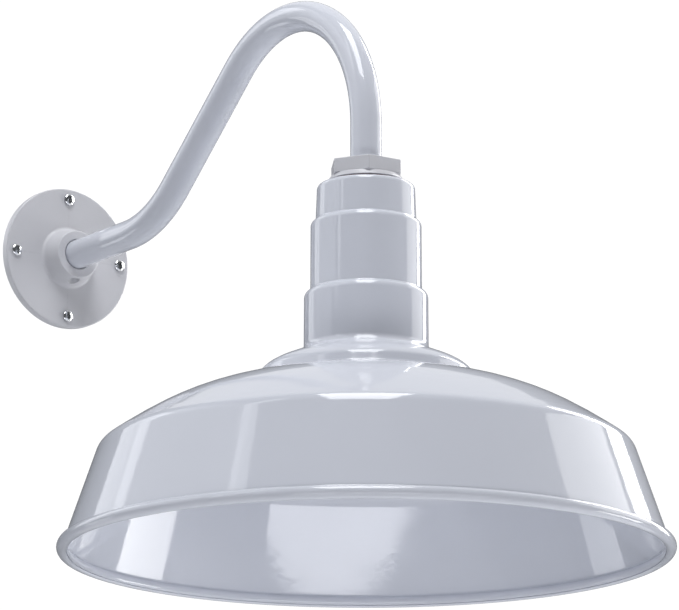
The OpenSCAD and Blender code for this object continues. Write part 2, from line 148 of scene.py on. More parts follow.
def rounded(corners, radius, fine=15.0):
    """A closed outline with each corner rounded off, as far as its sides allow."""
    points = []
    for k, corner in enumerate(corners):
        here, before, after = (Vector(p) for p in (corner, corners[k - 1], corners[(k + 1) % len(corners)]))
        back, out = (before - here), (after - here)
        bend = back.angle(out)
        cut = min(radius / math.tan(bend / 2), back.length / 2.1, out.length / 2.1)
        steps = max(2, math.ceil((180 - math.degrees(bend)) / fine))
        start, end = here + back.normalized() * cut, here + out.normalized() * cut
        if corner[0] < TINY:
            points.append(tuple(corner))
            continue
        for j in range(steps + 1):
            t = j / steps
            points.append(tuple(start * (1 - t) ** 2 + here * 2 * t * (1 - t) + end * t ** 2))
    return points


# ---- Making forms -------------------------------------------------------------

class Form:
    """Vertices and faces of a shape under construction, in millimetres."""

    def __init__(self, verts, faces):
        self.verts = [Vector(v) for v in verts]
        self.faces = [tuple(f) for f in faces]

    def placed(self, *matrices):
        verts = self.verts
        for matrix in matrices:
            verts = [matrix @ v for v in verts]
        return Form(verts, self.faces)

    def __add__(self, other):
        base = len(self.verts)
        moved_faces = [tuple(i + base for i in f) for f in other.faces]
        return Form(self.verts + other.verts, self.faces + moved_faces)


def ring_faces(rows, closed):
    """Quads between rows of vertex numbers, each row a closed ring."""
    faces = []
    for low, high in list(zip(rows, rows[1:])) + ([(rows[-1], rows[0])] if closed else []):
        for k in range(len(low)):
            j = (k + 1) % len(low)
            corners = list(dict.fromkeys((low[k], low[j], high[j], high[k])))
            if len(corners) > 2:
                faces.append(corners)
    return faces


def lathe(outline, steps=96, rule=None):
    """A closed outline of (radius, height) turned round Z. A rule may change the radius."""
    verts, rows = [], []
    for r, z in outline:
        if r < TINY:
            rows.append([len(verts)] * steps)
            verts.append((0, 0, z))
            continue
        rows.append(list(range(len(verts), len(verts) + steps)))
        for k in range(steps):
            angle = TAU * k / steps
            radius = rule(r, z, angle) if rule else r
            verts.append((radius * math.cos(angle), radius * math.sin(angle), z))
    return Form(verts, ring_faces(rows, closed=True))


def prism(outline, low, high):
    """A flat outline in X and Y, raised from low to high."""
    count = len(outline)
    verts = [(x, y, z) for z in (low, high) for x, y in outline]
    rows = [list(range(count)), list(range(count, 2 * count))]
    return Form(verts, ring_faces(rows, closed=False) + [rows[0][::-1], rows[1]])


def polygon(radius, sides, turn=0.0):
    angles = [math.radians(turn) + TAU * k / sides for k in range(sides)]
    return [(radius * math.cos(a), radius * math.sin(a)) for a in angles]


def block(low, high):
    (x0, y0, z0), (x1, y1, z1) = low, high
    return prism([(x0, y0), (x1, y0), (x1, y1), (x0, y1)], z0, z1)


def sweep(points, radii, sides, across=Vector((1, 0, 0))):
    """A tube through points. One radius makes a solid rod, and two make a pipe with a bore."""
    verts, rows = [], []
    for radius in radii:
        loops = []
        for k, point in enumerate(points):
            heading = (points[min(k + 1, len(points) - 1)] - points[max(k - 1, 0)]).normalized()
            first = heading.cross(across).normalized()
            second = heading.cross(first)
            loops.append(list(range(len(verts), len(verts) + sides)))
            for j in range(sides):
                angle = TAU * j / sides
                verts.append(point + radius * (math.cos(angle) * first + math.sin(angle) * second))
        rows += loops if not rows else loops[::-1]
    form = Form(verts, ring_faces(rows, closed=len(radii) > 1))
    if len(radii) == 1:
        form.faces += [tuple(rows[0][::-1]), tuple(rows[-1])]
    return form


def thread(radii, depth, pitch, low, high, rounded_crest=False):
    """Rule for lathe(): a helical thread cut into the surfaces of these radii, fading out at both ends."""
    def rule(r, z, angle):
        if not low <= z <= high or all(abs(r - radius) > TINY for radius in radii):
            return r
        phase = (z / pitch - angle / TAU) % 1
        tooth = 0.5 - 0.5 * math.cos(TAU * phase) if rounded_crest else abs(2 * phase - 1)
        fade = min(1, (z - low) / pitch, (high - z) / pitch)
        return r - depth * fade * tooth
    return rule


def run(radius, start, end, step):
    """Points up or down a straight wall, close enough together to carry a thread."""
    count = max(1, round(abs(end - start) / step))
    return [(radius, start + (end - start) * k / count) for k in range(count + 1)]


def solid_object(form):
    """A plain object with clean outward normals, as the booleans need."""
    mesh = bpy.data.meshes.new("form")
    mesh.from_pydata([v * MM for v in form.verts], [], form.faces)
    work = bmesh.new()
    work.from_mesh(mesh)
    bmesh.ops.remove_doubles(work, verts=work.verts, dist=TINY)
    bmesh.ops.recalc_face_normals(work, faces=work.faces)
    work.to_mesh(mesh)
    work.free()
    made = bpy.data.objects.new("form", mesh)
    bpy.context.scene.collection.objects.link(made)
    return made


def carved(form, cutters, joined=()):
    """The form's object with the joined forms added and the cutters taken out of it."""
    made = solid_object(form)
    tools = [(solid_object(f), "UNION") for f in joined]
    tools += [(solid_object(f), "DIFFERENCE") for f in cutters]
    for tool, operation in tools:
        step = made.modifiers.new("step", "BOOLEAN")
        step.object, step.operation, step.solver = tool, operation, "EXACT"
    shaped = bpy.data.meshes.new_from_object(made.evaluated_get(bpy.context.evaluated_depsgraph_get()))
    made.modifiers.clear()
    made.data = shaped
    for tool, _ in tools:
        bpy.data.objects.remove(tool)
    return made


def make(name, shape, slot, *nodes, bevel=0.0, sharp=35.0):
    """A finished piece that stands for its CAD nodes, with its shading, material, body and slot."""
    piece = solid_object(shape) if isinstance(shape, Form) else shape
    piece.name = piece.data.name = name
    piece.data.shade_smooth()
    piece.data.set_sharp_from_angle(angle=math.radians(sharp))
    if bevel:
        soften = piece.modifiers.new("soften", "BEVEL")
        soften.width, soften.segments, soften.limit_method = bevel * MM, 3, "ANGLE"
        soften.angle_limit = math.radians(sharp)
        soften.use_clamp_overlap = True
    level = piece.modifiers.new("level", "WEIGHTED_NORMAL")
    level.keep_sharp = True
    piece.data.materials.clear()
    piece.data.materials.append(MATERIALS[slot])
    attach(piece, BODY_OF[nodes[0]])
    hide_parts(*nodes)
    return piece


# ---- Materials ----------------------------------------------------------------

class Surface:
    """A Principled material under construction, patterned in the object's own metres."""

    def __init__(self, name, **sockets):
        self.name = name
        self.material = bpy.data.materials.new(f"{name}_look")
        self.material.use_nodes = True
        self.nodes, self.links = self.material.node_tree.nodes, self.material.node_tree.links
        self.shader = self.nodes["Principled BSDF"]
        self.place = self.nodes.new("ShaderNodeTexCoord").outputs["Object"]
        self.height = None
        for socket, value in sockets.items():
            self.shader.inputs[socket.replace("_", " ")].default_value = value

    def noise(self, scale, detail=2.0, stretch=None):
        """Noise with this many features to a metre, drawn out along an axis if a stretch is given."""
        node = self.nodes.new("ShaderNodeTexNoise")
        node.inputs["Scale"].default_value = scale
        node.inputs["Detail"].default_value = detail
        place = self.place
        if stretch:
            mapping = self.nodes.new("ShaderNodeMapping")
            mapping.inputs["Scale"].default_value = stretch
            self.links.new(place, mapping.inputs["Vector"])
            place = mapping.outputs["Vector"]
        self.links.new(place, node.inputs["Vector"])
        return node.outputs["Fac"]

    def cells(self, scale):
        node = self.nodes.new("ShaderNodeTexVoronoi")
        node.inputs["Scale"].default_value = scale
        self.links.new(self.place, node.inputs["Vector"])
        return node

    def spread(self, value, low, high, start=0.3, end=0.7):
        """The value mapped from start..end to low..high."""
        node = self.nodes.new("ShaderNodeMapRange")
        for socket, number in (("From Min", start), ("From Max", end), ("To Min", low), ("To Max", high)):
            node.inputs[socket].default_value = number
        self.links.new(value, node.inputs["Value"])
        return node.outputs["Result"]

    def times(self, first, second):
        node = self.nodes.new("ShaderNodeMath")
        node.operation = "MULTIPLY"
        self.links.new(first, node.inputs[0])
        self.links.new(second, node.inputs[1])
        return node.outputs["Value"]

    def mix(self, amount, first, second):
        """A colour between two, each a colour or another node's output."""
        node = self.nodes.new("ShaderNodeMix")
        node.data_type = "RGBA"
        self.links.new(amount, node.inputs["Factor"])
        for socket, colour in ((node.inputs[6], first), (node.inputs[7], second)):
            if isinstance(colour, tuple):
                socket.default_value = (*colour, 1)
            else:
                self.links.new(colour, socket)
        return node.outputs[2]

    def edges(self, low, high):
        """How far a place is on an outward edge, from the mesh's pointiness."""
        return self.spread(self.nodes.new("ShaderNodeNewGeometry").outputs["Pointiness"], 0, 1, low, high)

    def recess_shade(self, reach):
        """Mask for painted shade: 0 deep inside a recess of about this size in millimetres, and 1 in the
        open.
        """
        node = self.nodes.new("ShaderNodeAmbientOcclusion")
        node.inputs["Distance"].default_value = reach * MM
        return self.spread(node.outputs["AO"], 0, 1, 0.25, 0.8)

    def colour(self, value):
        self.links.new(value, self.shader.inputs["Base Color"])
        return self

    def rough(self, value):
        self.links.new(value, self.shader.inputs["Roughness"])
        return self

    def bump(self, value, height):
        """Adds relief of this height in millimetres."""
        node = self.nodes.new("ShaderNodeBump")
        node.inputs["Distance"].default_value = height * MM
        self.links.new(value, node.inputs["Height"])
        if self.height:
            self.links.new(self.height, node.inputs["Normal"])
        self.height = node.outputs["Normal"]
        self.links.new(self.height, self.shader.inputs["Normal"])
        return self


def shades(colour, spread):
    """The same colour a little darker and a little lighter."""
    return tuple(c * (1 - spread) for c in colour), tuple(min(1, c * (1 + spread)) for c in colour)


def gloss_enamel():
    """Sprayed gloss enamel: faint clouding, orange peel and thinner paint on sharp edges."""
    s = Surface("gloss_enamel", IOR=1.52)
    body = s.mix(s.spread(s.noise(9, 3), 0, 1), *shades(ENAMEL, 0.012))
    worn = s.times(s.edges(0.53, 0.6), s.spread(s.noise(260, 4), 0, 0.5))
    s.colour(s.mix(worn, body, shades(ENAMEL, 0.1)[0]))
    s.rough(s.spread(s.noise(70, 3), 0.045, 0.085))
    return s.bump(s.noise(330, 1), 0.016).bump(s.noise(60, 1), 0.04)


def cast_enamel():
    """Satin enamel over a casting: its fine skin shows through."""
    s = Surface("cast_enamel", IOR=1.5)
    body = s.mix(s.spread(s.noise(24, 4), 0, 1), *shades(CAST, 0.02))
    worn = s.times(s.edges(0.53, 0.62), s.spread(s.noise(300, 4), 0, 0.6))
    s.colour(s.mix(worn, body, shades(CAST, 0.12)[0]))
    s.rough(s.spread(s.noise(180, 4), 0.3, 0.42))
    return s.bump(s.noise(420, 3), 0.03).bump(s.noise(1500, 2), 0.008)


def rubber(name, colour):
    """Moulded rubber with a bloom of fine dust."""
    s = Surface(name, Specular_IOR_Level=0.35)
    dust = s.spread(s.noise(900, 5), 0, 0.5, 0.45, 0.75)
    s.colour(s.mix(dust, colour, tuple(min(1, c * 1.8 + 0.02) for c in colour)))
    s.rough(s.spread(s.noise(300, 3), 0.62, 0.85))
    return s.bump(s.noise(1400, 4), 0.03)


def metal(name, colour, rough, grain=(60, 60, 900), spread=0.05, tarnish=None, shade_reach=2.0):
    """Bare or plated metal with a fine grain, worn brighter on its edges and duller in its patches, with
    painted shade in its recesses.
    """
    s = Surface(name, Metallic=1.0)
    dark, light = shades(colour, spread)
    body = s.mix(s.spread(s.noise(120, 4), 0, 1), dark, light)
    if tarnish:
        body = s.mix(s.spread(s.noise(45, 5), 0, 0.7, 0.48, 0.72), body, tarnish)
    body = s.mix(s.edges(0.52, 0.6), body, tuple(min(1, c * 1.12) for c in colour))
    # Painted shade: recesses and thread roots are darkened almost to black by an ambient occlusion mask
    s.colour(s.mix(s.recess_shade(shade_reach), tuple(c * 0.06 for c in colour), body))
    s.rough(s.spread(s.noise(1, 3, stretch=grain), *rough))
    return s.bump(s.noise(1, 2, stretch=grain), 0.004)


def plastic(name, colour, rough=(0.32, 0.45), relief=0.012, **sockets):
    """Moulded plastic: slight flow marks and a fine moulded grain."""
    s = Surface(name, **sockets)
    s.colour(s.mix(s.spread(s.noise(40, 3), 0, 1), *shades(colour, 0.03)))
    s.rough(s.spread(s.noise(220, 3), *rough))
    return s.bump(s.noise(1100, 3), relief)


def porcelain():
    """White glazed porcelain with pin-prick specks and a wavy glaze."""
    s = Surface("porcelain", IOR=1.54)
    glaze = s.mix(s.spread(s.noise(30, 3), 0, 1), *shades((0.86, 0.84, 0.79), 0.025))
    specks = s.spread(s.cells(420).outputs["Distance"], 0.55, 0, 0.02, 0.07)
    s.colour(s.mix(specks, glaze, (0.35, 0.3, 0.24)))
    s.rough(s.spread(s.noise(90, 3), 0.06, 0.14))
    return s.bump(s.noise(140, 2), 0.02)


def zinc():
    """Zinc-plated pressed steel with a faint spangle."""
    s = Surface("zinc_steel", Metallic=1.0)
    spangle = s.spread(s.cells(260).outputs["Distance"], 0, 1, 0, 0.6)
    body = s.mix(spangle, (0.5, 0.52, 0.55), (0.66, 0.67, 0.68))
    body = s.mix(s.spread(s.noise(35, 4), 0, 0.5, 0.5, 0.75), body, (0.6, 0.56, 0.44))
    s.colour(s.mix(s.edges(0.52, 0.6), body, (0.8, 0.8, 0.8)))
    s.rough(s.spread(s.noise(240, 4), 0.26, 0.42))
    return s.bump(s.noise(1, 3, stretch=(1500, 120, 120)), 0.004)


def opal():
    """Opal polycarbonate, frosted, which lets some light through."""
    s = Surface("lamp_opal", Subsurface_Weight=0.35, Subsurface_Radius=(0.004, 0.004, 0.004))
    s.colour(s.mix(s.spread(s.noise(28, 3), 0, 1), *shades((0.9, 0.9, 0.88), 0.015)))
    s.rough(s.spread(s.noise(200, 3), 0.36, 0.5))
    return s.bump(s.noise(1600, 3), 0.01)


ENAMEL = (0.68, 0.70, 0.765)
CAST = (0.64, 0.64, 0.672)
MATERIALS = {s.name: s.material for s in (
    gloss_enamel(),
    cast_enamel(),
    porcelain(),
    zinc(),
    opal(),
    rubber("black_rubber", (0.03, 0.03, 0.032)),
    rubber("brown_rubber", (0.16, 0.075, 0.065)),
    metal("screw_chrome", (0.80, 0.81, 0.83), (0.08, 0.2), spread=0.03),
    metal("green_screw", (0.07, 0.36, 0.13), (0.25, 0.4), tarnish=(0.05, 0.2, 0.1)),
    metal("black_oxide", (0.075, 0.075, 0.08), (0.35, 0.5), tarnish=(0.14, 0.1, 0.08)),
    metal("brass", (0.78, 0.57, 0.26), (0.2, 0.38), tarnish=(0.5, 0.33, 0.16)),
    metal("lamp_metal", (0.74, 0.75, 0.76), (0.16, 0.3), spread=0.04),
    plastic("nylon", (0.82, 0.79, 0.7), (0.42, 0.55), Subsurface_Weight=0.15),
    plastic("black_insulation", (0.022, 0.022, 0.024), (0.35, 0.5)),
    plastic("white_insulation", (0.8, 0.79, 0.76), (0.35, 0.5)),
    plastic("green_insulation", (0.03, 0.27, 0.08), (0.35, 0.5)),
    plastic("lamp_black_glass", (0.02, 0.02, 0.03), (0.05, 0.12), relief=0.006, IOR=1.55),
    plastic("lamp_housing", (0.85, 0.85, 0.83), (0.3, 0.42)),
    plastic("lamp_board_white", (0.88, 0.88, 0.86), (0.4, 0.5)),
)}


# ---- On the wall --------------------------------------------------------------

def chamfered_hole(radius, low, high, flare=0.35):
    """A drill that leaves a small chamfer at its upper mouth."""
    over = 1.0
    return lathe([
        (0, low), (radius, low), (radius, high - flare), (radius + flare + over, high + over),
        (0, high + over),
    ], 48)


def round_the_plate():
    out = Matrix.Translation((SCREW_CIRCLE_R, 0, 0))
    return [Matrix.Rotation(TAU * k / 4, 4, "Z") @ out for k in range(4)]


def build_wall_plate():
    taper = 15
    face_r, edge_r, foot_r, rim_r = 16.8, 1.0, 3.0, 1.2
    side = (BOSS_FACE - PLATE_T - (edge_r + foot_r) * (1 - math.sin(math.radians(taper))))
    side /= math.cos(math.radians(taper))
    bore_r, mouth_r, mouth_floor, lead_in = PIPE_R + 0.05, 11.37, BOSS_FACE - 1.6, 0.3
    moves = [("line", face_r - mouth_r - lead_in), ("arc", edge_r, taper - 90), ("line", side),
             ("arc", foot_r, 90 - taper)]
    foot = walked((mouth_r + lead_in, BOSS_FACE, 0), moves)[-1][0]
    moves += [("line", PLATE_R - rim_r - foot), ("arc", rim_r, -90), ("line", PLATE_T - rim_r - 0.3),
              ("arc", 0.3, -90)]
    front = [(r, z) for r, z, _ in walked((mouth_r + lead_in, BOSS_FACE, 0), moves, fine=5)]
    back = [(50.4, 0), (50.4, 1.5), (40, 1.5), (40, 0.4), (39.6, 0), (38.4, 0), (38, 0.4), (38, 3.4),
            (15.5, 3.4), (15.5, 8), (bore_r, 8)]
    mouth = [(bore_r, mouth_floor), (mouth_r, mouth_floor), (mouth_r, BOSS_FACE - lead_in)]
    body = lathe(front + back + mouth, 180)
    way = lathe([(0, 8), (3, 8), (3, 15.6), (4.6, 19.4), (4.6, 30), (0, 30)], 48)
    cutters = [chamfered_hole(2.4, -1, PLATE_T).placed(m) for m in round_the_plate()]
    ground_hole = lathe([(0, 0), (1.75, 0), (1.75, 5), (0, 5)], 32)
    cutters += [way.placed(SET_SCREW_WAY), ground_hole.placed(GROUND)]
    post = lathe([(0, 2.6), (4.1, 2.6), (4.4, 2.9), (4.4, 3.6), (0, 3.6)], 48).placed(GROUND)
    make("plate_casting", carved(body.placed(), cutters, [post]), "cast_enamel", "wall_plate")
    bpy.data.objects["plate_casting"].data.transform(OFF_WALL)


def build_wall_gasket():
    outline = rounded([(40, 0), (50.4, 0), (50.4, 1.5), (40, 1.5)], 0.3)
    ring = carved(lathe(outline, 144), [chamfered_hole(2.4, -1, 3, 0).placed(m) for m in round_the_plate()])
    ring.data.transform(OFF_WALL)
    make("foam_gasket", ring, "black_rubber", "wall_gasket")


def cross_cutters(span, width, depth, top):
    """Two crossing wedges and a cone, as a cross driver leaves them."""
    bars = []
    for turn in (0, TAU / 4):
        low = prism(rectangle(span * 0.42, width * 0.8), top - depth, top)
        high = prism(rectangle(span, width), 0, 1)
        count = 4
        mouth = [Vector((v.x, v.y, top + 0.6)) for v in high.verts[:count]]
        wedge = Form(low.verts[:count] + mouth, low.faces)
        bars.append(wedge.placed(Matrix.Rotation(turn, 4, "Z")))
    bars.append(lathe([(0, top - depth - 0.5), (0.9, top - depth), (1.15, top + 0.6), (0, top + 0.6)], 24))
    return bars


def rectangle(width, height):
    x, y = width / 2, height / 2
    return [(-x, -y), (x, -y), (x, y), (-x, y)]


def dome_head(radius, height, base=0.0, rise=1.0, edge=0.35):
    """The outside of a pan head from its rim at the bottom up to the axis."""
    shoulder = height - rise
    ball = (radius ** 2 + rise ** 2) / (2 * rise)
    half = math.degrees(math.asin((radius - edge) / ball))
    top = arc((0, height - ball), ball, 90 - half, 90, 6)
    return [(radius - edge, base), (radius, base + edge), (radius, base + shoulder - 0.2)] + [
        (r, z + base) for r, z in top[:-1]] + [(0, base + height)]


def build_wall_screws():
    shank_r, neck_r, depth, pitch, length = 2.08, 1.9, 0.34, 0.79, 14.3
    tail = PLATE_T - length
    shank = [(0, tail), (shank_r - 0.7, tail), (shank_r, tail + 0.9)]
    shank += run(shank_r, tail + 1, 0, pitch / 8) + [(neck_r, 0), (neck_r, PLATE_T)]
    head = dome_head(4.15, 2.7, PLATE_T, rise=1.15)
    rule = thread([shank_r], depth, pitch, tail + 1, 0)
    screw = lathe(shank + head, 32, rule)
    one = carved(screw, cross_cutters(4.4, 1.1, 1.5, PLATE_T + 2.7))
    work = bmesh.new()
    for matrix in round_the_plate():
        copy = one.data.copy()
        copy.transform(OFF_WALL @ metres(matrix))
        work.from_mesh(copy)
        bpy.data.meshes.remove(copy)
    work.to_mesh(one.data)
    work.free()
    make("pan_head_screws", one, "screw_chrome", "wall_screws", sharp=32)


def metres(matrix):
    """The same placing for a mesh that is already in metres."""
    placed = matrix.copy()
    placed.translation *= MM
    return placed


def build_ground_screw():
    shape = lathe([(0, 0.7), (3.1, 0.7), (3.4, 1.0), (3.4, 2.6), (1.75, 2.6), (1.75, 5), (0, 5)], 48)
    screw = carved(shape, [block((-4, -0.45, 0), (4, 0.45, 1.6))])
    screw.data.transform(OFF_WALL @ metres(GROUND))
    make("bonding_screw", screw, "green_screw", "ground_screw", bevel=0.12)


def build_set_screw():
    tip, end, radius = 10.97, 15.0, 3.0
    shape = [(0, tip), (radius - 1, tip), (radius, tip + 1)] + run(radius, tip + 1.1, end - 0.4, 0.12)
    shape += [(radius - 0.3, end), (0, end)]
    rule = thread([radius], 0.4, 1.0, tip + 1, end - 0.4)
    key = prism(polygon(1.75, 6), end - 2.6, end + 1)
    screw = carved(lathe(shape, 40, rule), [key])
    screw.data.transform(OFF_WALL @ metres(SET_SCREW_WAY))
    make("hollow_set_screw", screw, "black_oxide", "arm_set_screw")


# ---- Arm ----------------------------------------------------------------------

def arm_states(start, first):
    """States along the arm's centreline from a distance off the wall, down to the hub's socket."""
    moves = [("line", first), ("arc", BEND_R, CLIMB), ("line", CLIMB_RUN), ("arc", BEND_R, -90 - CLIMB)]
    states = walked((start, 0, 0), moves, fine=1.5)
    drop = states[-1][1] - (HUB_TOP - HUB_SOCKET + HEAD.z)
    return states + walked(states[-1], [("line", drop)])[1:]


def build_arm():
    route = [Vector((0, -s, z)) for s, z, _ in arm_states(ARM_START, PLATE_T + FIRST_RUN - ARM_START)]
    route[-1] = Vector((0, route[-2].y, HUB_TOP - HUB_SOCKET + HEAD.z))
    make("bent_pipe", sweep(route, (PIPE_R, PIPE_IN_R), 80), "gloss_enamel", "gooseneck_arm")


def build_bushing():
    outline = rounded([(6.8, 4.7), (9.8, 4.7), (9.8, 5.5), (7.9, 5.5), (7.9, 14.5), (6.8, 14.5)], 0.3)
    slit = block((-0.4, 5, 9), (0.4, 10, 16))
    slits = [slit.placed(Matrix.Rotation(TAU * k / 4, 4, "Z")) for k in range(4)]
    bush = carved(lathe(outline, 64), slits)
    bush.data.transform(OFF_WALL)
    make("snap_bushing", bush, "nylon", "wire_bushing")


# ---- Hub and shade --------------------------------------------------------------

def build_hub():
    flange = [(8, SPIGOT_END + 0.5), (8.5, SPIGOT_END), (SPIGOT_R - 0.8, SPIGOT_END)]
    flange += run(SPIGOT_R, SPIGOT_END + 0.8, 249.5, 0.2) + [(SPIGOT_R, GASKET_TOP), (26.1, GASKET_TOP)]
    flange += arc((26.0, GASKET_TOP + 0.4), 0.4, -90, 20, 20) + arc((23.9, 256.2), 0.4, 20, 90, 20)
    flange += [(12, 256.6), (12, 252), (8, 252)]
    rule = thread([SPIGOT_R], 0.7, 1.81, SPIGOT_END + 0.6, 249.5)
    hexagon = prism(polygon(26.2, 6), HEX_BASE - 0.3, HUB_TOP)
    soft = solid_object(hexagon)
    edge = soft.modifiers.new("edge", "BEVEL")
    edge.width, edge.segments, edge.limit_method = 0.7 * MM, 4, "ANGLE"
    drill = lathe([(0, 250), (PIPE_R, 252), (PIPE_R, HUB_TOP - 0.4), (PIPE_R + 0.6, HUB_TOP + 0.2),
                   (PIPE_R + 0.6, HUB_TOP + 1), (0, HUB_TOP + 1)], 80)
    tool = solid_object(drill)
    cut = soft.modifiers.new("cut", "BOOLEAN")
    cut.object, cut.operation, cut.solver = tool, "DIFFERENCE", "EXACT"
    lower = solid_object(lathe(flange, 144, rule))
    shaped = bpy.data.meshes.new_from_object(soft.evaluated_get(bpy.context.evaluated_depsgraph_get()))
    work = bmesh.new()
    work.from_mesh(shaped)
    work.from_mesh(lower.data)
    soft.modifiers.clear()
    work.to_mesh(soft.data)
    work.free()
    bpy.data.objects.remove(tool)
    bpy.data.objects.remove(lower)
    soft.data.transform(metres(ON_HEAD))
    make("cast_hub", soft, "cast_enamel", "hub_fitting")


def build_hub_gasket():
    outline = rounded([(13, NECK_TOP), (25.8, NECK_TOP), (25.8, GASKET_TOP), (13, GASKET_TOP)], 0.35)
    make("flange_gasket", lathe(outline, 144).placed(ON_HEAD), "brown_rubber", "hub_gasket")


def shade_outside():
    """States down the shade's outside, from the neck's hole to the bead."""
    moves = [
        # Three tiers
        ("line", 29.8 - NECK_HOLE_R), ("arc", 3.5, -87.8), ("line", 21.2),
        ("arc", 1, 67.8), ("arc", 4.2, -69.8), ("line", 43.8),
        ("arc", 1.2, 69.8), ("arc", 5.2, -69.7), ("line", 32.2),
        # Collar
        ("arc", 6, 67.7), ("line", 14), ("arc", 50, -9), ("arc", 22, -17), ("arc", 6, -24), ("line", 4.3),
        # Dome
        ("arc", 2, 62), ("arc", 265, -8.6), ("arc", 190, -10.4), ("arc", 330, -5),
    ]
    end = walked((NECK_HOLE_R, NECK_TOP, 0), moves)[-1]
    lean, dip = math.radians(SKIRT_LEAN), math.radians(end[2])
    shoulder = ("arc", SHOULDER_R, SKIRT_LEAN - 90 - end[2])
    trial = turned(end, *shoulder[1:])
    foot_r = RIM_R - BEAD_R + SHEET_T / 2 / math.cos(lean)
    dome_run = foot_r - trial[0] - trial[1] * math.tan(lean)
    dome_run /= math.cos(dip) + math.sin(dip) * math.tan(lean)
    skirt = (trial[1] + dome_run * math.sin(dip)) / math.cos(lean) - BEAD_R + SHEET_T / 2
    moves += [("line", dome_run), shoulder, ("line", skirt - 1.2)]
    return walked((NECK_HOLE_R, NECK_TOP, 0), moves, fine=3)


def build_shade():
    outside = shade_outside()
    outer = [(r, z) for r, z, _ in outside]
    inner = [(r + SHEET_T * math.sin(math.radians(h)), z - SHEET_T * math.cos(math.radians(h)))
             for r, z, h in outside]
    centre = (RIM_R - BEAD_R, 0)
    lap, slit, slit_depth = 9, -135, 1.0
    bead = arc(centre, BEAD_R, 90 + SKIRT_LEAN - lap - 5, slit + 5, 6)
    groove = [(centre[0] + (BEAD_R - slit_depth) * math.cos(math.radians(a)),
               (BEAD_R - slit_depth) * math.sin(math.radians(a))) for a in (slit + 2, slit - 3)]
    roll = arc(centre, BEAD_R, slit - 4, SKIRT_LEAN - 270 + lap + 5, 6)
    make("spun_shade", lathe(outer + bead + groove + roll + inner[::-1], 256).placed(ON_HEAD),
         "gloss_enamel", "shade", sharp=50)


# ---- Inside the neck --------------------------------------------------------------

def build_bracket():
    top, sheet, half, foot, bend = 250, 1.5, 8, 184, 2.2
    x = BRACKET_X + sheet
    strip = [(x, foot), (x, top - bend)] + arc((x - bend, top - bend), bend, 0, 90, 15)[1:]
    strip += [(-px, pz) for px, pz in strip[::-1]]
    inside = [(BRACKET_X, foot), (BRACKET_X, top - bend - 0.01)]
    inside += arc((x - bend, top - bend), bend - sheet, 0, 90, 15)[1:]
    inside += [(-px, pz) for px, pz in inside[::-1]]
    outline = strip + inside[::-1]
    count = len(outline)
    verts = [(px, y, pz) for y in (-half, half) for px, pz in outline]
    rows = [list(range(count)), list(range(count, 2 * count))]
    strap = Form(verts, ring_faces(rows, closed=False) + [rows[0][::-1], rows[1]])
    disc = lathe([(8, top - sheet), (19.5, top - sheet), (19.5, top), (8, top)], 96)
    hole = lathe([(0, 240), (NECK_HOLE_R, 240), (NECK_HOLE_R, 260), (0, 260)], 64)
    pin = lathe([(0, -30), (2.3, -30), (2.3, 30), (0, 30)], 32)
    pin = pin.placed(Matrix.Translation((0, 0, BRACKET_SCREW_Z)) @ Matrix.Rotation(TAU / 4, 4, "Y"))
    bracket = carved(strap, [hole, pin], [disc])
    bracket.data.transform(metres(ON_HEAD))
    make("strap_bracket", bracket, "zinc_steel", "socket_bracket", bevel=0.25)


def build_lock_washer():
    """A star washer whose teeth are twisted out of its plane."""
    low, high, inner_r, outer_r, count = 247.3, 248.5, NECK_HOLE_R, 18.5, 12
    washer = lathe([(inner_r, low), (16.2, low), (16.2, high), (inner_r, high)], 96)
    for k in range(count):
        tooth = block((15.8, -2.1, -0.32), (outer_r, 2.1, 0.32)).placed(
            Matrix.Rotation(math.radians(12), 4, "X"), Matrix.Translation((0, 0, (low + high) / 2)),
            Matrix.Rotation(TAU * k / count, 4, "Z"))
        washer += tooth
    make("star_washer", washer.placed(ON_HEAD), "zinc_steel", "lock_washer", bevel=0.1)


def build_locknut():
    low, high, corner = 241.3, 247.3, 20.4
    crown = lathe([(0, low), (17.6, low), (21, low + 1.6), (21, high - 1.6), (17.6, high), (0, high)], 96)
    nut = solid_object(prism(polygon(corner, 6), low, high))
    bore = lathe([(0, low - 1), (SPIGOT_R + 0.9, low - 0.1), (SPIGOT_R, low + 0.8),
                  (SPIGOT_R, high - 0.8), (SPIGOT_R + 0.9, high + 0.1), (0, high + 1)], 96)
    tools = [solid_object(crown), solid_object(bore)]
    for tool, operation in zip(tools, ("INTERSECT", "DIFFERENCE")):
        step = nut.modifiers.new("step", "BOOLEAN")
        step.object, step.operation, step.solver = tool, operation, "EXACT"
    shaped = bpy.data.meshes.new_from_object(nut.evaluated_get(bpy.context.evaluated_depsgraph_get()))
    nut.modifiers.clear()
    nut.data = shaped
    for tool in tools:
        bpy.data.objects.remove(tool)
    nut.data.transform(metres(ON_HEAD))
    make("hexagon_locknut", nut, "zinc_steel", "hub_locknut", bevel=0.15)


def build_bracket_screws():
    base = BRACKET_X + 1.5
    shank = [(0, 16.5), (1.6, 16.5), (2.05, 17)] + run(2.05, 17.1, 23, 0.1) + [(2.05, base)]
    rule = thread([2.05], 0.3, 0.8, 17, 23)
    screw = lathe(shank + dome_head(3.5, 2.2, base, rise=0.9), 32, rule)
    one = carved(screw, cross_cutters(3.8, 0.9, 1.1, base + 2.2))
    lay = Matrix.Translation((0, 0, BRACKET_SCREW_Z)) @ Matrix.Rotation(TAU / 4, 4, "Y")
    work = bmesh.new()
    for turn in (0, TAU / 2):
        copy = one.data.copy()
        copy.transform(metres(ON_HEAD) @ Matrix.Rotation(turn, 4, "Z") @ metres(lay))
        work.from_mesh(copy)
        bpy.data.meshes.remove(copy)
    work.to_mesh(one.data)
    work.free()
    make("bracket_pan_screws", one, "zinc_steel", "bracket_screws", sharp=32)


# ---- Lampholder --------------------------------------------------------------------

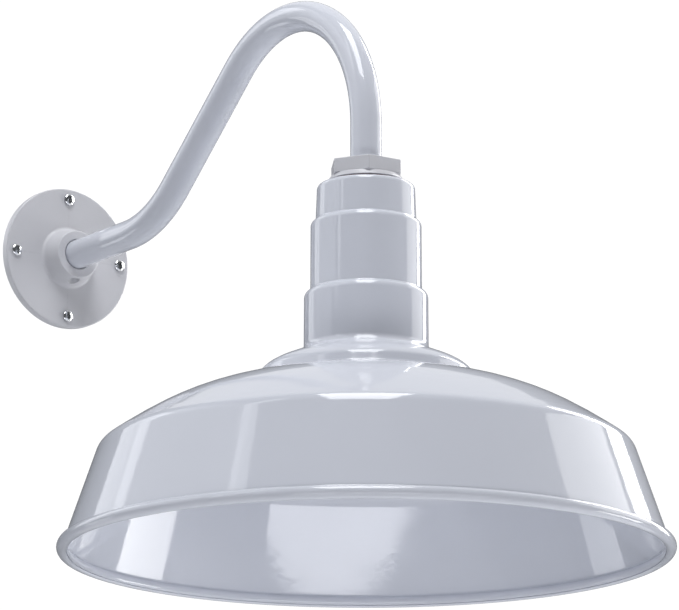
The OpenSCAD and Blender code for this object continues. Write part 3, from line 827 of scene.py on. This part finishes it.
def build_socket_body():
    top, bore, bore_r = HOLDER_MOUTH + HOLDER_H, HOLDER_MOUTH + 30, 14
    outline = [(bore_r + 0.6, HOLDER_MOUTH)] + arc((HOLDER_R - 1.2, HOLDER_MOUTH + 1.2), 1.2, -90, 0, 15)
    groove = [(0, 6), (0.5, 6.6), (0.5, 8.4), (0, 9)]
    outline += [(HOLDER_R - depth, HOLDER_MOUTH + height) for depth, height in groove]
    outline += arc((HOLDER_R - 2, top - 2), 2, 0, 90, 15) + [(3, top), (2.5, top - 0.4)]
    outline += [(2.5, bore), (bore_r - 0.6, bore), (bore_r, bore - 0.6), (bore_r, HOLDER_MOUTH + 0.6)]
    cutters = []
    for side in (-1, 1):
        near, far = sorted((side * BRACKET_X, side * (BRACKET_X + 10)))
        cutters.append(block((near, -30, 182), (far, 30, 240)))
        hole = [(0, top - 8), (1.8, top - 8), (1.8, top - 0.3), (2.8, top + 0.7), (0, top + 0.7)]
        terminal = lathe(hole, 32)
        cutters.append(terminal.placed(Matrix.Translation((0, side * TERMINAL_Y, 0))))
        screw = lathe([(0, 16.5), (2.05, 16.5), (2.05, 30), (0, 30)], 32)
        cutters.append(screw.placed(Matrix.Translation((0, 0, BRACKET_SCREW_Z))
                                    @ Matrix.Rotation(side * TAU / 4, 4, "Y")))
    body = carved(lathe(outline, 128), cutters)
    body.data.transform(metres(ON_HEAD))
    make("porcelain_body", body, "porcelain", "socket_body", bevel=0.3)


def build_socket_shell():
    top, wall, outer = HOLDER_MOUTH + 30, 0.5, 14
    foot = top - 28
    outline = [(7.5, top)] + arc((outer - 0.6, top - 0.6), 0.6, 90, 0, 30)
    outline += run(outer, top - 0.8, foot, 0.4) + run(outer - wall, foot, top - 0.8, 0.4)
    outline += [(outer - wall - 0.2, top - wall), (7.5, top - wall)]
    rule = thread([outer, outer - wall], 0.3, 3.63, foot - 1, top - 0.8, rounded_crest=True)
    make("screw_shell", lathe(outline, 96, rule).placed(ON_HEAD), "brass", "socket_shell")


def build_socket_contact():
    base, top = TIP_Z, HOLDER_MOUTH + HOLDER_H
    outline = [(0, base)] + arc((4.6, base + 0.4), 0.4, -90, 0, 30) + arc((4.6, base + 0.6), 0.4, 0, 90, 30)
    outline += [(2.5, base + 1), (2.5, top), (3.8, top), (3.8, top + 0.5), (2.9, top + 1), (0, top + 1)]
    make("centre_contact", lathe(outline, 48).placed(ON_HEAD), "brass", "socket_contact")


def build_terminal_screws():
    top = HOLDER_MOUTH + HOLDER_H
    shank = [(0, top - 8), (1.3, top - 8), (1.8, top - 7.4)]
    shank += run(1.8, top - 7.3, top - 0.4, 0.09) + [(1.8, top)]
    rule = thread([1.8], 0.28, 0.7, top - 7.3, top - 0.4)
    one = carved(lathe(shank + dome_head(3.6, 2.4, top, rise=0.6), 32, rule),
                 [block((-5, -0.45, top + 1.4), (5, 0.45, top + 4))])
    work = bmesh.new()
    for side in (-1, 1):
        copy = one.data.copy()
        copy.transform(metres(ON_HEAD @ Matrix.Translation((0, side * TERMINAL_Y, 0))))
        work.from_mesh(copy)
        bpy.data.meshes.remove(copy)
    work.to_mesh(one.data)
    work.free()
    make("binding_screws", one, "brass", "terminal_screws", sharp=32)


# ---- Leads --------------------------------------------------------------------------

LEAD_TAIL = [(25, 1.9), (18, 1.9), (12.5, 2.1), (9.5, 2.6), (7, 3.3), (5, 4.6), (3.6, 6.6), (2.6, 9.5)]
LEAD_ENDS = {
    "line_lead": (90, [(0, 2.6, 236), (0, 4, 226), (0, 6.6, 216), (0, 8.6, 209.5), (0, 9, 203.4)]),
    "neutral_lead": (210, [(-1.9, -1.5, 236), (-1.5, -3.6, 226), (-0.8, -6.4, 216), (-0.2, -8.5, 209.5),
                           (0, -9, 203.4)]),
    "ground_lead": (330, [(2.1, -1.1, 236), (4, -1, 228), (8.6, -0.6, 219), (14, -0.2, 211.5), (19, 0, 207),
                          (20.7, 0, 204)]),
}


def smoothed(points, pieces=4):
    """A Catmull-Rom curve through the points."""
    out = []
    for k in range(len(points) - 1):
        a, b, c, d = (points[min(max(i, 0), len(points) - 1)] for i in (k - 1, k, k + 1, k + 2))
        for j in range(pieces):
            t = j / pieces
            out.append(((2 * b) + (c - a) * t + (2 * a - 5 * b + 4 * c - d) * t * t
                        + (3 * b - a - 3 * c + d) * t ** 3) / 2)
    return out + [points[-1]]


def build_leads():
    offset, lead_r, start = 2.2, 1.2, ARM_START + 9
    for node, (angle, terminal) in LEAD_ENDS.items():
        c, s = math.cos(math.radians(angle)), math.sin(math.radians(angle))
        tail = [Vector((r * c, -y, r * s)) for r, y in LEAD_TAIL]
        middle = []
        for along, up, heading in arm_states(start, PLATE_T + FIRST_RUN - start)[::4]:
            h = math.radians(heading)
            beside = Vector((offset * c, offset * s * math.sin(h), offset * s * math.cos(h)))
            middle.append(Vector((0, -along, up)) + beside)
        end = [HEAD + Vector((x, -y, z)) for x, y, z in terminal]
        route = smoothed(tail + middle + end)
        make(f"{node}_wire", sweep(route, (lead_r,), 16), LEAD_COLOURS[node], node)


LEAD_COLOURS = {
    "line_lead": "black_insulation", "neutral_lead": "white_insulation", "ground_lead": "green_insulation",
}


# ---- Lamp, drawn downwards from its tip ----------------------------------------------

def build_lamp():
    shell_top, shell_end, shell_r, wall, globe_r, length = 4.4, 27, 13, 0.5, 30, 107
    globe_centre = length - globe_r
    cut = globe_centre - 13
    neck_r = math.sqrt(globe_r ** 2 - 13 ** 2)
    insulator = [(0, 1.4), (4.6, 1.4), (4.6, 0.7)] + arc((4.8, 0.9), 0.35, -90, 0, 30)
    insulator += [(6.5, 1.7), (8.6, 2.7), (10.6, 4.1), (10.9, shell_top), (0, shell_top)]
    make("glass_insulator", lathe(insulator, 64).placed(BELOW_TIP), "lamp_black_glass", "lamp_insulator")
    button = [(0, 0), (2.6, 0.02), (3.8, 0.25), (4.4, 0.7), (4.6, 1.4), (0, 1.4)]
    make("contact_button", lathe(button, 48).placed(BELOW_TIP), "lamp_metal", "lamp_contact")

    shell = [(0, shell_top), (9.5, shell_top)] + arc((12.2, 5.2), 0.8, -90, 0, 22)
    shell += run(shell_r, 5.6, shell_end, 0.4) + run(shell_r - wall, shell_end, 5.6, 0.4)
    shell += [(12, shell_top + wall), (0, shell_top + wall)]
    rule = thread([shell_r, shell_r - wall], 0.75, 3.63, 5.6, shell_end - 1.5, rounded_crest=True)
    make("rolled_shell", lathe(shell, 96, rule).placed(BELOW_TIP), "lamp_metal", "lamp_shell")

    body = [(0, shell_end - 6), (11.5, shell_end - 6), (11.5, shell_end), (13.4, shell_end)]
    body += arc((13.8, shell_end + 0.8), 0.8, -90, 0, 22)
    body += [(14.6, shell_end + 3), (15.6, shell_end + 7), (17.8, 42), (21.4, 52)]
    body += [(25.3, cut - 2.4), (25.6, cut - 2.2), (25.4, cut - 1.2)]
    body += [(neck_r, cut - 0.8), (neck_r, cut), (0, cut)]
    make("lamp_housing_shell", lathe(body, 128).placed(BELOW_TIP), "lamp_housing", "lamp_body")

    board = rounded([(0, cut), (neck_r - 3, cut), (neck_r - 3, cut + 1.6), (0, cut + 1.6)], 0.2)
    chips = Form([], [])
    for k in range(9):
        chip = block((-1.4, -1.4, cut + 1.6), (1.4, 1.4, cut + 2.3))
        chips += chip.placed(Matrix.Translation((17, 0, 0)), Matrix.Rotation(TAU * k / 9, 4, "Z"))
    make("led_board", (lathe(board, 96) + chips).placed(BELOW_TIP), "lamp_board_white", "lamp_board")

    inner_r = globe_r - 1.2
    spread = math.degrees(math.asin(13 / globe_r))
    inner_spread = math.degrees(math.asin(13 / inner_r))
    globe = arc((0, globe_centre), globe_r, -spread, 90, 4)[:-1] + [(0, globe_centre + globe_r)]
    globe += [(0, globe_centre + inner_r)] + arc((0, globe_centre), inner_r, 90, -inner_spread, 4)[1:]
    make("opal_globe", lathe(globe, 128).placed(BELOW_TIP), "lamp_opal", "lamp_globe")


# ---- Setting: camera, floor, light ------------------------------------------------------

CAMERA_AZIMUTH = math.radians(-34.733)
CAMERA_AWAY = 3.23655
CAMERA_BELOW = 0.595186
CAMERA_YAW = math.radians(0.318)
CAMERA_PITCH = math.radians(13.265)
LENS_MM = 261.5
FLOOR_Z = -1.35


def build_camera():
    head = HEAD * MM
    out = Vector((math.sin(CAMERA_AZIMUTH), -math.cos(CAMERA_AZIMUTH), 0))
    camera = bpy.data.objects.new("camera", bpy.data.cameras.new("camera"))
    camera.location = head + out * CAMERA_AWAY - Vector((0, 0, CAMERA_BELOW))
    heading = CAMERA_AZIMUTH + CAMERA_YAW
    look = Vector((-math.sin(heading) * math.cos(CAMERA_PITCH), math.cos(heading) * math.cos(CAMERA_PITCH),
                   math.sin(CAMERA_PITCH)))
    camera.rotation_euler = look.to_track_quat("-Z", "Y").to_euler()
    camera.data.sensor_width, camera.data.lens = 36, LENS_MM
    camera.data.clip_start, camera.data.clip_end = 0.05, 60
    bpy.context.scene.collection.objects.link(camera)
    bpy.context.scene.camera = camera


def build_floor():
    s = Surface("floor_white")
    s.colour(s.mix(s.spread(s.noise(2, 3), 0, 1), *shades((0.74, 0.745, 0.755), 0.01)))
    s.rough(s.spread(s.noise(30, 3), 0.6, 0.7))
    half = 2300
    floor = solid_object(block((-half, -half, FLOOR_Z / MM - 20), (half, half, FLOOR_Z / MM)))
    floor.name = "studio_floor"
    floor.data.materials.append(s.material)


def softbox(name, azimuth, elevation, away, size, radiance, tint=(1, 1, 1)):
    """A rectangular light round the shade. Azimuth is from the camera's side, positive to its right."""
    lamp = bpy.data.lights.new(name, "AREA")
    lamp.shape = "RECTANGLE"
    lamp.size, lamp.size_y = size
    lamp.energy = radiance * size[0] * size[1] * math.pi
    lamp.color = tint
    turn = CAMERA_AZIMUTH + math.radians(azimuth)
    rise = math.radians(elevation)
    out = Vector((math.sin(turn) * math.cos(rise), -math.cos(turn) * math.cos(rise), math.sin(rise)))
    holder = bpy.data.objects.new(name, lamp)
    holder.location = HEAD * MM + out * away
    holder.rotation_euler = out.to_track_quat("Z", "Y").to_euler()
    holder.visible_camera = False
    bpy.context.scene.collection.objects.link(holder)


def build_world():
    """A white cyclorama behind the object, whose light on it is softer and cooler than it looks."""
    world = bpy.data.worlds.new("studio")
    world.use_nodes = True
    bpy.context.scene.world = world
    nodes, links = world.node_tree.nodes, world.node_tree.links
    fill = nodes["Background"]
    fill.inputs["Color"].default_value = (0.92, 0.95, 1.0, 1)
    fill.inputs["Strength"].default_value = 0.10
    seen = nodes.new("ShaderNodeBackground")
    seen.inputs["Color"].default_value = (1, 1, 1, 1)
    seen.inputs["Strength"].default_value = 1.05
    swap = nodes.new("ShaderNodeMixShader")
    links.new(nodes.new("ShaderNodeLightPath").outputs["Is Camera Ray"], swap.inputs["Fac"])
    links.new(fill.outputs["Background"], swap.inputs[1])
    links.new(seen.outputs["Background"], swap.inputs[2])
    links.new(swap.outputs["Shader"], nodes["World Output"].inputs["Surface"])


def build_lights():
    cool = (0.94, 0.96, 1.0)
    softbox("edge_strip", 138, 24, 3.0, (0.66, 2.6), 8.0)
    softbox("right_soft", 110, 21, 3.1, (1.75, 2.0), 2.3)
    softbox("right_low", 106, -13, 3.0, (1.35, 0.7), 6.5)
    softbox("left_low", -115, -12, 3.0, (1.0, 0.5), 2.2, cool)
    softbox("left_wall", -92, 30, 3.2, (3.0, 2.8), 0.95, cool)
    softbox("left_back", -124, 24, 3.0, (0.95, 2.2), 1.8, cool)
    softbox("left_edge", -57, 40, 3.0, (0.3, 2.6), 2.2, cool)
    softbox("overhead_front", -3, 71, 2.4, (0.9, 1.85), 8.0, (0.97, 0.98, 1.0))
    softbox("overhead_back", 165, 60, 2.8, (3.0, 2.4), 0.6)
    softbox("front_low", 10, -27.5, 1.9, (2.45, 0.22), 6.0, (0.95, 0.96, 1.0))


build_camera()
build_wall_plate()
build_wall_gasket()
build_wall_screws()
build_ground_screw()
build_set_screw()
build_arm()
build_bushing()
build_hub()
build_hub_gasket()
build_shade()
build_bracket()
build_lock_washer()
build_locknut()
build_bracket_screws()
build_socket_body()
build_socket_shell()
build_socket_contact()
build_terminal_screws()
build_leads()
build_lamp()
build_floor()
build_world()
build_lights()
bpy.context.scene.view_settings.view_transform = "Standard"
